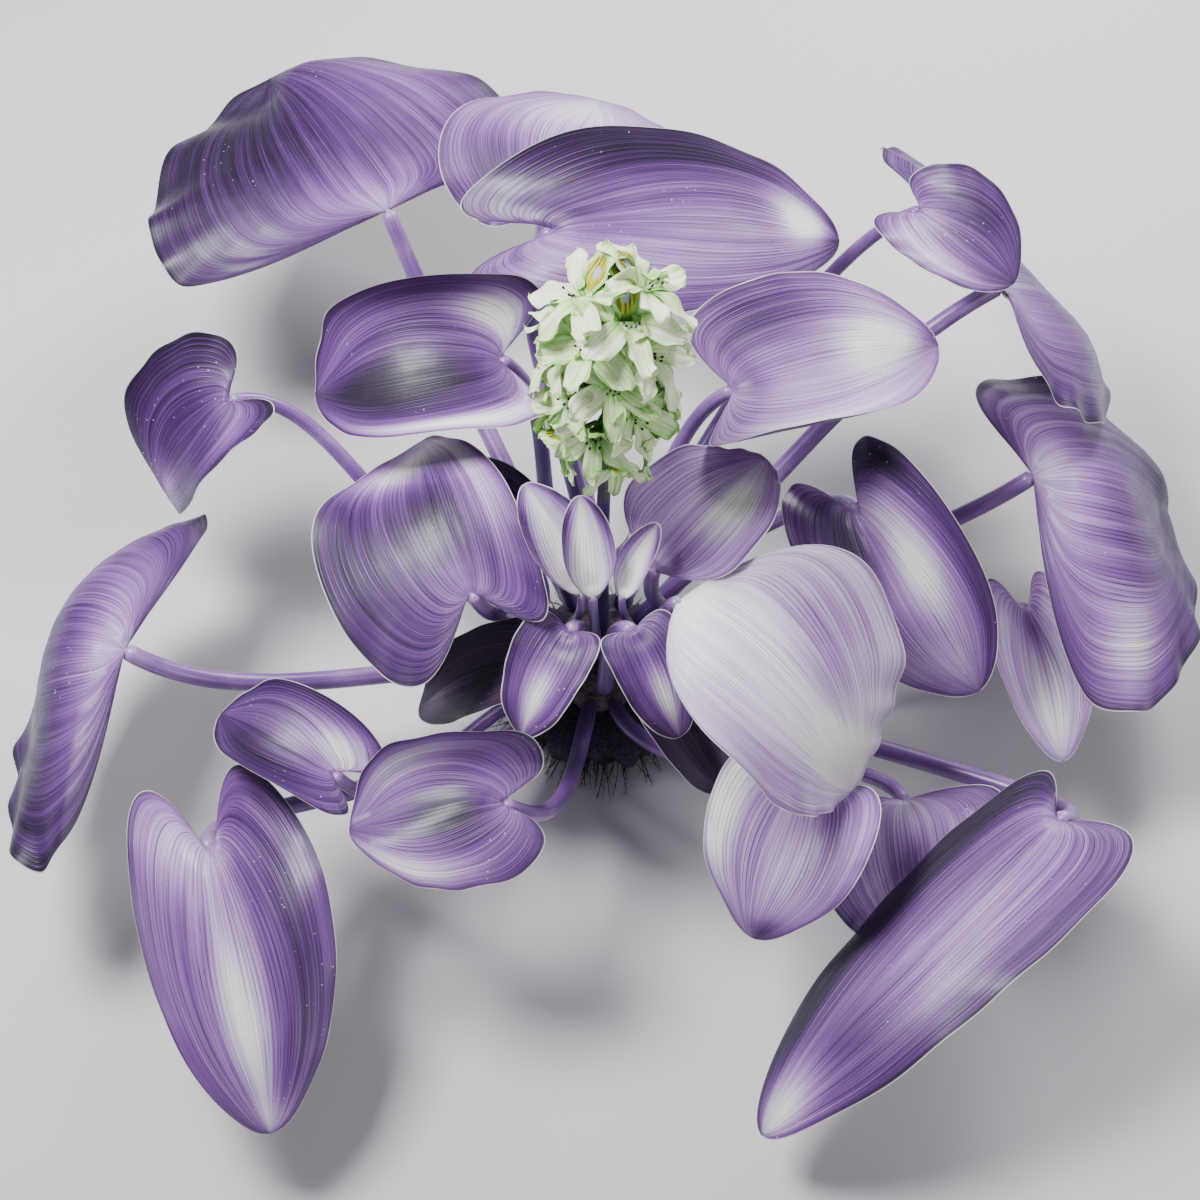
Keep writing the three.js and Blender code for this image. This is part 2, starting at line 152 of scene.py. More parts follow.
# Living leaf with a waxy cuticle, which gives a satin gloss on a soft and slightly translucent body.
# Parallel veins run from stalk to tip, darker than the blade and standing a little proud.
def waxyLeaf(name, roughness, veinStrength):
    material, tree, shader = newMaterial(name)
    flow = addNode(tree, "Attribute", {}, 1, attribute_name="flow")
    tone = addNode(tree, "Attribute", {}, 2, attribute_name="tone")
    edge = addNode(tree, "Attribute", {}, 2, attribute_name="edge")
    under = addNode(tree, "Attribute", {}, 2, attribute_name="under")
    where = addNode(tree, "TexCoord", {}, 3)
    line = addNode(tree, "SeparateXYZ", {0: flow})

    # each vein is a thin line with its own strength, which also comes and goes along it
    spacing = leafLook["veinSpacing"]
    off = addNode(tree, "Math", {0: line, 1: spacing / 2}, operation="PINGPONG")
    vein = addNode(tree, "MapRange", {0: off, 1: 0.1, 2: 0.5, 3: 1.0, 4: 0.0},
                   interpolation_type="SMOOTHSTEP")
    number = addNode(tree, "Math", {0: line, 1: spacing}, operation="DIVIDE")
    number = addNode(tree, "Math", {0: number}, operation="ROUND")
    own = addNode(tree, "TexWhiteNoise", {"W": number}, noise_dimensions="1D")
    own = addNode(tree, "MapRange", {0: own, 1: 0.1, 2: 1.0, 3: 0.25, 4: 1.0})
    slow = addNode(tree, "VectorMath", {0: flow, 1: flowScale(leafLook["veinFade"])},
                   operation="MULTIPLY")
    slow = addNode(tree, "TexNoise", {"Vector": slow, "Scale": 1.0, "Detail": 3.0})
    slow = addNode(tree, "MapRange", {0: slow, 1: 0.34, 2: 0.62}, interpolation_type="SMOOTHSTEP")
    seen = addNode(tree, "MapRange", {0: tone, 1: 0.5, 2: 1.05, 3: veinStrength, 4: veinStrength * 0.5})
    strength = addNode(tree, "Math", {0: own, 1: slow}, operation="MULTIPLY")
    strength = addNode(tree, "Math", {0: strength, 1: seen}, operation="MULTIPLY")
    strength = addNode(tree, "Math", {0: strength, 1: vein}, operation="MULTIPLY")
    fine = addNode(tree, "Math", {0: line, 1: leafLook["fineSpacing"] / 2}, operation="PINGPONG")
    fine = addNode(tree, "MapRange", {0: fine, 1: 0.05, 2: 0.32, 3: 1.0, 4: 0.0},
                   interpolation_type="SMOOTHSTEP")

    # streaks of lighter and darker tissue between the veins
    bands = addNode(tree, "VectorMath", {0: flow, 1: flowScale(leafLook["bands"])}, operation="MULTIPLY")
    bands = addNode(tree, "TexNoise", {"Vector": bands, "Scale": 1.0, "Detail": 2.0})
    streaks = addNode(tree, "VectorMath", {0: flow, 1: flowScale(leafLook["streaks"])},
                      operation="MULTIPLY")
    streaks = addNode(tree, "TexNoise", {"Vector": streaks, "Scale": 1.0, "Detail": 2.0})
    shade = addNode(tree, "Math", {0: bands, 1: 0.36, 2: tone}, operation="MULTIPLY_ADD")
    shade = addNode(tree, "Math", {0: streaks, 1: 0.5, 2: shade}, operation="MULTIPLY_ADD")
    shade = addNode(tree, "Math", {0: fine, 1: -0.05, 2: shade}, operation="MULTIPLY_ADD")
    inner = addNode(tree, "MapRange", {0: edge, 1: 0.8, 2: 5.0, 3: -0.6, 4: -0.49},
                    interpolation_type="SMOOTHSTEP")
    shade = addNode(tree, "Math", {0: shade, 1: inner})
    blade = addNode(tree, "ValToRGB", {0: shade}, stops=leafLook["tones"])
    blade = addNode(tree, "Mix", {0: strength, 6: blade, 7: linear(leafLook["veins"])}, 2,
                    data_type="RGBA")
    below = addNode(tree, "ValToRGB", {0: shade}, stops=leafLook["underside"])
    colour = addNode(tree, "Mix", {0: under, 6: blade, 7: below}, 2, data_type="RGBA")

    # the margin is a thin pale line, and dust and dried drops leave small light specks
    rim = addNode(tree, "MapRange", {0: edge, 1: 0.3, 2: 0.85, 3: 0.85, 4: 0.0})
    colour = addNode(tree, "Mix", {0: rim, 6: colour, 7: linear(leafLook["rim"])}, 2, data_type="RGBA")
    specks = addNode(tree, "TexVoronoi", {"Vector": where,
                                          "Scale": patternScale(leafLook["dustSpacing"])})
    specks = addNode(tree, "MapRange", {0: specks, 1: 0.06, 2: 0.12, 3: 0.6, 4: 0.0})
    dusty = addNode(tree, "TexNoise", {"Vector": where,
                                       "Scale": patternScale(leafLook["dustPatches"])})
    dusty = addNode(tree, "MapRange", {0: dusty, 1: 0.56, 2: 0.64})
    dust = addNode(tree, "Math", {0: specks, 1: dusty}, operation="MULTIPLY")
    colour = addNode(tree, "Mix", {0: dust, 6: colour, 7: linear(leafLook["dust"])}, 2,
                     data_type="RGBA")
    tree.links.new(colour, shader.inputs["Base Color"])

    mottle = addNode(tree, "TexNoise", {"Vector": where, "Scale": patternScale(leafLook["mottle"]),
                                        "Detail": 3.0})
    gloss = addNode(tree, "MapRange", {0: mottle, 1: 0.3, 2: 0.7, 3: roughness - 0.07,
                                       4: roughness + 0.1})
    tree.links.new(gloss, shader.inputs["Roughness"])
    relief = addNode(tree, "Math", {0: fine, 1: 0.25, 2: mottle}, operation="MULTIPLY_ADD")
    relief = addNode(tree, "Math", {0: vein, 1: 0.9, 2: relief}, operation="MULTIPLY_ADD")
    bump = addNode(tree, "Bump", {"Height": relief, "Strength": 0.6, "Distance": 0.3 * mm})
    tree.links.new(bump, shader.inputs["Normal"])
    shader.inputs["IOR"].default_value = 1.45
    shader.inputs["Coat Weight"].default_value = 0.16
    shader.inputs["Coat Roughness"].default_value = 0.25
    shader.inputs["Subsurface Weight"].default_value = 0.06
    shader.inputs["Subsurface Radius"].default_value = (0.004, 0.002, 0.004)
    return material


stalkLook = {
    "fibres": (1.11, 50),  # across and along
    "clouds": 35.7,  # size of paler and darker areas
    "fleckSpacing": 2.38,
    "flecks": "#d8cee2",
}


# Smooth skin of a spongy leaf stalk: even and satin, with faint lengthwise fibres and pale flecks.
def spongyStalk(name, stops, roughness):
    material, tree, shader = newMaterial(name)
    flow = addNode(tree, "Attribute", {}, 1, attribute_name="flow")
    tone = addNode(tree, "Attribute", {}, 2, attribute_name="tone")
    where = addNode(tree, "TexCoord", {}, 3)
    fibres = addNode(tree, "VectorMath", {0: flow, 1: flowScale(stalkLook["fibres"])},
                     operation="MULTIPLY")
    fibres = addNode(tree, "TexNoise", {"Vector": fibres, "Scale": 1.0, "Detail": 4.0})
    clouds = addNode(tree, "TexNoise", {"Vector": where, "Scale": patternScale(stalkLook["clouds"]),
                                        "Detail": 3.0})
    shade = addNode(tree, "Math", {0: clouds, 1: 0.6, 2: tone}, operation="MULTIPLY_ADD")
    shade = addNode(tree, "Math", {0: fibres, 1: 0.45, 2: shade}, operation="MULTIPLY_ADD")
    shade = addNode(tree, "Math", {0: shade, 1: 0.52}, operation="SUBTRACT")
    colour = addNode(tree, "ValToRGB", {0: shade}, stops=stops)
    flecks = addNode(tree, "TexVoronoi", {"Vector": where,
                                          "Scale": patternScale(stalkLook["fleckSpacing"])})
    flecks = addNode(tree, "MapRange", {0: flecks, 1: 0.08, 2: 0.2, 3: 0.4, 4: 0.0})
    some = addNode(tree, "MapRange", {0: clouds, 1: 0.5, 2: 0.6})
    flecks = addNode(tree, "Math", {0: flecks, 1: some}, operation="MULTIPLY")
    colour = addNode(tree, "Mix", {0: flecks, 6: colour, 7: linear(stalkLook["flecks"])}, 2,
                     data_type="RGBA")
    tree.links.new(colour, shader.inputs["Base Color"])
    bump = addNode(tree, "Bump", {"Height": fibres, "Strength": 0.4, "Distance": 0.25 * mm})
    tree.links.new(bump, shader.inputs["Normal"])
    shader.inputs["Roughness"].default_value = roughness
    shader.inputs["Coat Weight"].default_value = 0.25
    shader.inputs["Coat Roughness"].default_value = 0.22
    shader.inputs["Subsurface Weight"].default_value = 0.05
    shader.inputs["Subsurface Radius"].default_value = (0.004, 0.002, 0.004)
    return material


petalLook = {
    "veins": (1.11, 20),  # across and along
    "tones": [(0.0, "#3f6a20"), (0.25, "#72ab48"), (0.5, "#a4da78"), (0.75, "#d6f2b4"),
              (1.0, "#f8fbe2")],
    "gold": "#cfcb3a",
    "streaks": "#66701a",
    "spot": "#b7bde6",
}


# Petal: soft, matt and translucent, cream at the ends and green down the tube. The upper tepal has
# a yellow eye with olive streaks and a pale blue spot.
def softPetal(name):
    material, tree, shader = newMaterial(name)
    flow = addNode(tree, "Attribute", {}, 1, attribute_name="flow")
    tone = addNode(tree, "Attribute", {}, 2, attribute_name="tone")
    eye = addNode(tree, "Attribute", {}, 2, attribute_name="eye")
    veins = addNode(tree, "VectorMath", {0: flow, 1: flowScale(petalLook["veins"])},
                    operation="MULTIPLY")
    veins = addNode(tree, "TexNoise", {"Vector": veins, "Scale": 1.0, "Detail": 3.0})
    shade = addNode(tree, "Math", {0: veins, 1: 1.4, 2: tone}, operation="MULTIPLY_ADD")
    shade = addNode(tree, "Math", {0: shade, 1: 0.7}, operation="SUBTRACT")
    colour = addNode(tree, "ValToRGB", {0: shade}, stops=petalLook["tones"])
    dark = addNode(tree, "MapRange", {0: veins, 1: 0.44, 2: 0.54}, interpolation_type="SMOOTHSTEP")
    gold, olive = linear(petalLook["gold"]), linear(petalLook["streaks"])
    ring = addNode(tree, "Mix", {0: dark, 6: gold, 7: olive}, 2, data_type="RGBA")
    inEye = addNode(tree, "MapRange", {0: eye, 1: 0.3, 2: 0.5}, interpolation_type="SMOOTHSTEP")
    colour = addNode(tree, "Mix", {0: inEye, 6: colour, 7: ring}, 2, data_type="RGBA")
    inSpot = addNode(tree, "MapRange", {0: eye, 1: 0.98, 2: 1.12}, interpolation_type="SMOOTHSTEP")
    colour = addNode(tree, "Mix", {0: inSpot, 6: colour, 7: linear(petalLook["spot"])}, 2,
                     data_type="RGBA")
    tree.links.new(colour, shader.inputs["Base Color"])
    bump = addNode(tree, "Bump", {"Height": veins, "Strength": 0.7, "Distance": 0.4 * mm})
    tree.links.new(bump, shader.inputs["Normal"])
    shader.inputs["Roughness"].default_value = 0.5
    shader.inputs["Subsurface Weight"].default_value = 0.15
    shader.inputs["Subsurface Radius"].default_value = (0.003, 0.004, 0.002)
    return material


# Plain plant tissue in one colour with fine mottling: anthers, filaments, crown and roots.
def plainTissue(name, light, dark, roughness, grain):  # grain in millimetres
    material, tree, shader = newMaterial(name)
    where = addNode(tree, "TexCoord", {}, 3)
    mottle = addNode(tree, "TexNoise", {"Vector": where, "Scale": patternScale(grain), "Detail": 4.0})
    mix = addNode(tree, "MapRange", {0: mottle, 1: 0.35, 2: 0.65})
    colour = addNode(tree, "Mix", {0: mix, 6: linear(dark), 7: linear(light)}, 2, data_type="RGBA")
    tree.links.new(colour, shader.inputs["Base Color"])
    bump = addNode(tree, "Bump", {"Height": mottle, "Strength": 0.6, "Distance": 0.4 * mm})
    tree.links.new(bump, shader.inputs["Normal"])
    shader.inputs["Roughness"].default_value = roughness
    return material


leafStalkTones = [(0.0, "#201430"), (0.3, "#513570"), (0.55, "#7d589c"), (0.8, "#b499c9"),
                  (1.0, "#ebe0ee")]
flowerStalkTones = [(0.0, "#1e1433"), (0.35, "#4c3472"), (0.6, "#6f7f5c"), (0.85, "#8dba70"),
                    (1.0, "#cfe0c0")]
materials = {
    "blade": waxyLeaf("waxyLeaf", 0.42, 0.95),
    "youngBlade": waxyLeaf("waxyYoungLeaf", 0.45, 0.75),
    "stalk": spongyStalk("spongyLeafStalk", leafStalkTones, 0.36),
    "flowerStalk": spongyStalk("firmFlowerStalk", flowerStalkTones, 0.42),
    "petal": softPetal("softPetal"),
    "anther": plainTissue("dustyAnther", "#3b3447", "#191422", 0.7, 0.5),
    "filament": plainTissue("paleFilament", "#e6ecd8", "#bccfa8", 0.5, 1.5),
    "crown": plainTissue("fibrousCrown", "#6d5a64", "#2c222e", 0.75, 3.0),
    "root": plainTissue("featheryRoot", "#4b3d55", "#17111c", 0.8, 2.0),
}
print("materials made")


def meshFrom(shape, name):
    mesh = bpy.data.meshes.new(name)
    shape.to_mesh(mesh)
    shape.free()
    return mesh


def gridPoints(columns, rows):  # a flat grid, and where each vertex is on it, from 0 to 1
    shape = bmesh.new()
    bmesh.ops.create_grid(shape, x_segments=columns, y_segments=rows, size=0.5)
    mesh = meshFrom(shape, "grid")
    flat = np.empty(len(mesh.vertices) * 3)
    mesh.vertices.foreach_get("co", flat)
    flat = flat.reshape(-1, 3) + 0.5
    return mesh, flat[:, 0], flat[:, 1]


def setPoints(mesh, points, flow, tone, edge=9.0, under=0.0, eye=0.0):
    mesh.vertices.foreach_set("co", (points * mm).ravel())
    layer = mesh.attributes.new("flow", "FLOAT_VECTOR", "POINT")
    flowValues = np.stack(np.broadcast_arrays(*flow), axis=1)
    layer.data.foreach_set("vector", flowValues.astype(np.float32).ravel())
    for name, value in (("tone", tone), ("edge", edge), ("under", under), ("eye", eye)):
        layer = mesh.attributes.new(name, "FLOAT", "POINT")
        layer.data.foreach_set("value", np.broadcast_to(value, len(points)).astype(np.float32))


def addObject(name, meshes, slots, replaced):  # joins meshes, one material each
    shape = bmesh.new()
    for number, mesh in enumerate(meshes):
        before = len(shape.faces)
        shape.from_mesh(mesh)
        shape.faces.ensure_lookup_table()
        for face in shape.faces[before:]:
            face.material_index = number
            face.smooth = True
        bpy.data.meshes.remove(mesh)
    bmesh.ops.remove_doubles(shape, verts=shape.verts, dist=0.01 * mm)
    bmesh.ops.dissolve_degenerate(shape, edges=shape.edges, dist=0.005 * mm)
    bmesh.ops.recalc_face_normals(shape, faces=shape.faces)
    joined = meshFrom(shape, name)
    for slot in slots:
        joined.materials.append(materials[slot])
    piece = addToScene(name, joined)
    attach(piece, "root")
    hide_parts(replaced)


def joinMeshes(meshes):
    shape = bmesh.new()
    for mesh in meshes:
        shape.from_mesh(mesh)
        bpy.data.meshes.remove(mesh)
    return meshFrom(shape, "joined")


def unit(vectors):
    return vectors / np.linalg.norm(vectors, axis=-1, keepdims=True)


def bell(distance, reach):  # 1 in the middle, fading away over the reach
    return np.exp(-(distance / reach) ** 2)


def steady(value):  # the same all the way along a tube
    return lambda t: value + 0 * t


def bezier(points, t):
    a, b, c, d = [np.asarray(p, float) for p in points]
    t = np.asarray(t, float)[..., None]
    return (1 - t) ** 3 * a + 3 * t * (1 - t) ** 2 * b + 3 * t * t * (1 - t) * c + t ** 3 * d


def bezierTangent(points, t):
    a, b, c, d = [np.asarray(p, float) for p in points]
    t = np.asarray(t, float)[..., None]
    return unit((1 - t) ** 2 * (b - a) + 2 * t * (1 - t) * (c - b) + t * t * (d - c))


# A closed round tube along a curve, with both ends rounded. Its radius and its tone are functions
# of the way along it, from 0 to 1.
def tubeMesh(points, radiusAt, sides, rows, tone, number=0.0):
    mesh, around, along = gridPoints(sides, rows)
    length = np.linalg.norm(np.diff(bezier(points, np.linspace(0, 1, 30)), axis=0), axis=1).sum()
    tangent = bezierTangent(points, along)
    side = unit(np.cross(tangent, np.array([0.3, 0.2, 1.0])))
    other = np.cross(tangent, side)
    radius = radiusAt(along)
    fromEnd = np.minimum(along, 1 - along) * length
    radius = radius * np.sqrt(1 - (1 - np.clip(fromEnd / radius, 0, 1)) ** 2)
    turn = 2 * np.pi * around
    ring = side * np.cos(turn)[:, None] + other * np.sin(turn)[:, None]
    flow = (np.sin(turn) * 8, along * length, number)
    setPoints(mesh, bezier(points, along) + ring * radius[:, None], flow, tone(along))
    return mesh


def polar(turn, radius, height):
    return np.array([math.cos(turn) * radius, math.sin(turn) * radius, height])


crown = {"radius": 34, "centre": 42, "gap": 0.4}
rings = {  # where stalks leave the crown: angle from straight up, number of places, first place
    "outer": {"tilt": 78, "places": 15, "first": 20},
    "middle": {"tilt": 50, "places": 12, "first": 4},
    "inner": {"tilt": 26, "places": 6, "first": 30},
}
# What a leaf has unless it says otherwise. Its base is where the stalk meets the blade, and from is
# its ring and place on the crown. Cup bends the left and right halves up, and curl bends the blade
# down along its length. Each patch is painted light on the blade: a painted highlight of its satin
# sheen where its amount is above 0, and painted shade where it is below 0. A patch gives its place
# along and across, its size along and across, and how much paler it is painted.
commonLeaf = {
    "roll": 0, "spread": 150, "lobe": 0.35, "tip": 0.08, "cup": (30, 30), "funnel": 0, "skew": 0,
    "curl": 30, "wave": 2, "waves": 2, "rise": 45, "radius": 5, "flare": 1.08,
    "tone": 0.5, "stalkTone": 0.5, "sheenAndShade": (), "sheenAndShadeStrength": 1.35, "dark": 0, "swell": 1.7,
    "dip": 3, "dipReach": 9,  # the hollow over the stalk's end
}
centreLeaf = {
    "pitch": -10, "length": 70, "curl": 55, "spread": 100, "swell": 0.2, "tone": 0.42,
    # a painted highlight towards the tip, and painted shade near the stalk
    "sheenAndShade": [(0.62, 0, 0.3, 0.34, 0.45), (0.15, 0, 0.2, 0.7, -0.2)],
}
youngLeaf = {"spread": 60, "wave": 0, "radius": 3, "swell": 0.2, "tone": 0.84}


# Painted light on a young leaf: a painted highlight down the middle, with painted shade along both
# margins.
def youngSheenAndShade(across, paintedLight):  # a pale middle between two darker margins
    return [(0.5, across, 0.5, 0.3, paintedLight), (0.5, 0.9, 0.5, 0.22, -0.3), (0.5, -0.9, 0.5, 0.22, -0.3)]


# The patches listed for each leaf are painted highlights and painted shade on its blade.
leaves = {
    "leaf_behind_flower": {
        "base": (-26, 180, 262), "from": ("middle", 3), "heading": 2, "pitch": 8, "roll": 12,
        "length": 185, "width": 115, "cup": (30, -15), "curl": 40, "spread": 160, "lobe": 0.4,
        "wave": 4, "radius": 6, "tone": 0.46,
        "sheenAndShade": [(0.86, 0.3, 0.09, 0.5, 0.6), (0.5, 0.8, 0.4, 0.25, -0.2),
                    (0.45, -0.5, 0.3, 0.3, 0.14), (0.98, -0.1, 0.05, 0.7, -0.2),
                    (0.12, 0.3, 0.14, 0.4, -0.14)],
    },
    "leaf_left_cupped": {
        "base": (-62, 92, 250), "from": ("middle", 4), "heading": 183, "pitch": 5, "roll": -5,
        "length": 120, "width": 125, "cup": (35, 105), "curl": 45, "spread": 125, "lobe": 0.4,
        "tone": 0.33,
        "sheenAndShade": [(0.14, -0.6, 0.16, 0.25, 0.6), (0.75, -0.6, 0.3, 0.25, 0.12),
                    (0.55, 0.25, 0.35, 0.3, -0.3), (0.35, 0.85, 0.4, 0.14, 0.6)],
    },
    "leaf_left_broad": {
        "base": (-76, -50, 219), "from": ("middle", 5), "heading": 118, "pitch": 21, "roll": -22,
        "length": 123, "width": 123, "cup": (30, 15), "curl": 60, "spread": 135, "lobe": 0.5,
        "skew": 0.25, "wave": 4, "waves": 1.5, "swell": 0.8, "tone": 0.43,
        "sheenAndShade": [(0.8, 0.1, 0.11, 0.9, 0.5), (0.62, -0.7, 0.25, 0.25, 0.3),
                    (0.4, 0.05, 0.22, 0.45, -0.24), (0.5, 0.8, 0.4, 0.25, -0.12)],
    },
    "leaf_left_under": {
        "base": (-40, -16, 189), "from": ("middle", 6), "heading": 128, "pitch": 0, "length": 110,
        "width": 70, "cup": (50, 50), "curl": 20, "swell": 0.8, "tone": 0.3,
        "sheenAndShade": [(0.85, 0, 0.14, 0.7, 0.55), (0.3, 0.4, 0.3, 0.4, -0.2)],
    },
    "leaf_centre_round": {
        "base": (33, -30, 215), "from": ("middle", 0), "heading": 47, "pitch": 21, "length": 100,
        "width": 83, "cup": (25, 25), "curl": 40, "spread": 80, "swell": 0.2, "tone": 0.66,
        "sheenAndShade": [(0.55, -0.35, 0.25, 0.35, 0.34), (0.8, 0.6, 0.2, 0.3, -0.1),
                    (0.12, -0.3, 0.14, 0.4, -0.22)],
    },
    "leaf_front_broad": {
        "base": (48, -60, 222), "from": ("middle", 11), "heading": -36, "pitch": 8, "roll": -5,
        "length": 165, "width": 160, "cup": (25, 25), "curl": 80, "spread": 72, "lobe": 0.4,
        "funnel": 1, "swell": 0.8, "tone": 0.96,
        "sheenAndShade": [(0.86, 0.1, 0.16, 0.6, 0.36), (0.35, 0.6, 0.25, 0.28, -0.24),
                    (0.55, 0.35, 0.2, 0.2, -0.12), (0.5, -0.75, 0.3, 0.25, -0.2)],
    },
    "leaf_right": {
        "base": (156, 24, 185), "from": ("middle", 1), "heading": -62, "pitch": -5, "roll": 25,
        "length": 135, "width": 100, "cup": (40, 40), "curl": 45, "tone": 0.51,
        "sheenAndShade": [(0.4, 0.25, 0.22, 0.3, 0.42), (0.75, 0.8, 0.3, 0.2, -0.16),
                    (0.2, -0.5, 0.2, 0.4, -0.3), (0.82, 0, 0.15, 0.5, 0.14),
                    (0.2, 0.85, 0.2, 0.15, -0.25)],
    },
    "leaf_right_cupped": {
        "base": (82, 82, 232), "from": ("middle", 2), "heading": 8, "pitch": 12, "roll": 25,
        "length": 125, "width": 120, "cup": (5, 95), "curl": 15, "spread": 120, "tone": 0.66,
        "sheenAndShade": [(0.72, 0.15, 0.18, 0.4, 0.45), (0.3, 0.6, 0.25, 0.35, -0.24),
                    (0.4, -0.7, 0.3, 0.2, 0.2), (0.96, 0.4, 0.07, 0.6, -0.2),
                    (0.08, 0, 0.1, 0.6, -0.24)],
    },
    "leaf_back": {
        "base": (-35, 279, 170), "from": ("outer", 3), "heading": 70, "pitch": 15, "length": 95,
        "width": 165, "cup": (20, 20), "spread": 160, "radius": 6, "tone": 0.6,
        "sheenAndShade": [(0.85, 0, 0.3, 0.8, 0.25), (0.3, 0.6, 0.3, 0.3, -0.24)],
    },
    "leaf_back_right_small": {
        "base": (204, 221, 228), "from": ("outer", 2), "heading": -40, "pitch": 5, "roll": 10,
        "length": 75, "width": 75, "curl": 40, "tone": 0.4,
        "sheenAndShade": [(0.5, -0.6, 0.3, 0.25, 0.35), (0.5, 0.5, 0.3, 0.3, -0.14)],
    },
    "leaf_back_left_fan": {
        "base": (-143, 275, 170), "from": ("outer", 4), "heading": 122, "pitch": 5, "length": 180,
        "width": 290, "cup": (-15, -30), "curl": 35, "spread": 92, "lobe": 0.6, "tip": 0.02, "wave": 5,
        "waves": 3, "radius": 6, "tone": 0.25,
        "sheenAndShade": [(0.08, 0, 0.16, 0.7, 0.22), (0.55, -0.6, 0.3, 0.35, 0.18),
                    (0.6, 0.5, 0.4, 0.4, -0.12)],
    },
    "leaf_right_fan": {
        "base": (276, 75, 150), "from": ("outer", 0), "heading": 12, "pitch": 0, "length": 140,
        "width": 270, "cup": (-45, -25), "curl": 75, "spread": 110, "lobe": 0.5, "tip": 0.02,
        "skew": -0.2, "wave": 4, "radius": 6, "tone": 0.34,
        "sheenAndShade": [(0.1, 0, 0.2, 0.7, 0.24), (0.35, -0.75, 0.15, 0.22, 0.4),
                    (0.85, 0, 0.2, 0.8, -0.12)],
    },
    "leaf_left_fan": {
        "base": (-290, -50, 150), "from": ("outer", 7), "heading": 165, "pitch": -5, "length": 110,
        "width": 280, "cup": (-25, -40), "curl": 90, "spread": 110, "lobe": 0.5, "wave": 4, "radius": 6,
        "tone": 0.28,
        "sheenAndShade": [(0.1, 0, 0.2, 0.7, 0.22), (0.5, 0.5, 0.3, 0.4, -0.12),
                    (0.6, -0.5, 0.25, 0.3, 0.14)],
    },
    "leaf_front_left_long": {
        "base": (-225, -180, 140), "from": ("outer", 9), "heading": -72, "pitch": -5, "roll": -10,
        "length": 170, "width": 115, "cup": (0, -60), "curl": 45, "lobe": 0.45, "wave": 5,
        "radius": 5.8, "tone": 0.5,
        "sheenAndShade": [(0.6, -0.05, 0.32, 0.2, 0.46), (0.5, 0.6, 0.4, 0.28, -0.2),
                    (0.15, -0.5, 0.15, 0.4, 0.14), (0.95, 0.3, 0.08, 0.6, 0.25)],
    },
    "leaf_front_right_long": {
        "base": (265, -160, 140), "from": ("outer", 13), "heading": -142, "pitch": -5, "roll": 15,
        "length": 255, "width": 110, "cup": (-10, -50), "curl": 35, "spread": 110, "lobe": 0.3,
        "radius": 6, "tone": 0.4,
        "sheenAndShade": [(0.93, 0.1, 0.12, 0.9, 0.5), (0.5, -0.8, 0.45, 0.28, -0.42),
                    (0.35, 0.3, 0.3, 0.3, 0.16), (0.68, 0.2, 0.12, 0.4, -0.12)],
    },
    "leaf_front_right_fan": {
        "base": (185, -128, 94), "from": ("outer", 12), "heading": -85, "pitch": -10, "length": 95,
        "width": 125, "cup": (30, 30), "curl": 30, "spread": 100, "lobe": 0.5, "tone": 0.44,
        "sheenAndShade": [(0.12, 0, 0.2, 0.6, 0.16), (0.6, -0.4, 0.25, 0.3, 0.2),
                    (0.8, 0.4, 0.2, 0.3, -0.16)],
    },
    "leaf_front_right_heart": {
        "base": (120, -141, 136), "from": ("outer", 11), "heading": -112, "pitch": 0, "length": 95,
        "width": 100, "curl": 60, "spread": 120, "tip": 0.2, "tone": 0.62,
        "sheenAndShade": [(0.4, -0.85, 0.3, 0.24, 0.5), (0.5, 0.2, 0.3, 0.4, 0.08),
                    (0.94, 0.3, 0.1, 0.6, -0.26), (0.12, 0.4, 0.15, 0.3, -0.14)],
    },
    "leaf_front_folded": {
        "base": (-58, -159, 165), "from": ("outer", 10), "heading": -175, "pitch": 5, "roll": 10,
        "length": 90, "width": 100, "cup": (-60, 110), "tone": 0.42,
        "sheenAndShade": [(0.65, -0.65, 0.25, 0.3, 0.36), (0.35, 0.1, 0.25, 0.3, -0.3),
                    (0.7, 0.75, 0.25, 0.22, 0.45)],
    },
    "leaf_left_small": {
        "base": (-158, -132, 150), "from": ("outer", 8), "heading": 147, "pitch": 5, "length": 85,
        "width": 75, "cup": (60, 60), "radius": 4.5, "tone": 0.34,
        "sheenAndShade": [(0.2, -0.55, 0.2, 0.35, 0.45), (0.6, 0.3, 0.3, 0.4, -0.14)],
    },
    "leaf_centre_left": {
        **centreLeaf, "base": (-19, -71, 205), "from": ("middle", 8), "heading": -120, "width": 47,
    },
    "leaf_centre_right": {
        **centreLeaf, "base": (20, -72, 206), "from": ("middle", 9), "heading": -60, "width": 48,
    },
    "leaf_far_left": {
        "base": (-238, 118, 166), "from": ("outer", 6), "heading": -148, "pitch": -25, "length": 85,
        "width": 110, "cup": (50, 50), "curl": 50, "tone": 0.26,
        "sheenAndShade": [(0.9, 0.2, 0.15, 0.7, 0.3), (0.3, 0.6, 0.2, 0.25, 0.16)],
    },
    "leaf_far_right": {
        "base": (268, -3, 110), "from": ("outer", 14), "heading": -79, "pitch": 0, "length": 98,
        "width": 60, "tone": 0.7, "sheenAndShade": [(0.7, 0, 0.3, 0.4, 0.22), (0.12, 0, 0.16, 0.6, -0.3)],
    },
    "leaf_low_left": {
        "base": (-46, -67, 158), "from": ("middle", 7), "heading": -174, "pitch": -20, "length": 81,
        "width": 60, "cup": (40, 40), "tone": 0.34, "dark": 0.85,
        "sheenAndShade": [(0.75, 0, 0.2, 0.4, 0.4), (0.2, 0, 0.2, 0.6, -0.15)],
    },
    "leaf_low_right": {
        "base": (38, -84, 165), "from": ("middle", 10), "heading": -49, "pitch": -25, "length": 80,
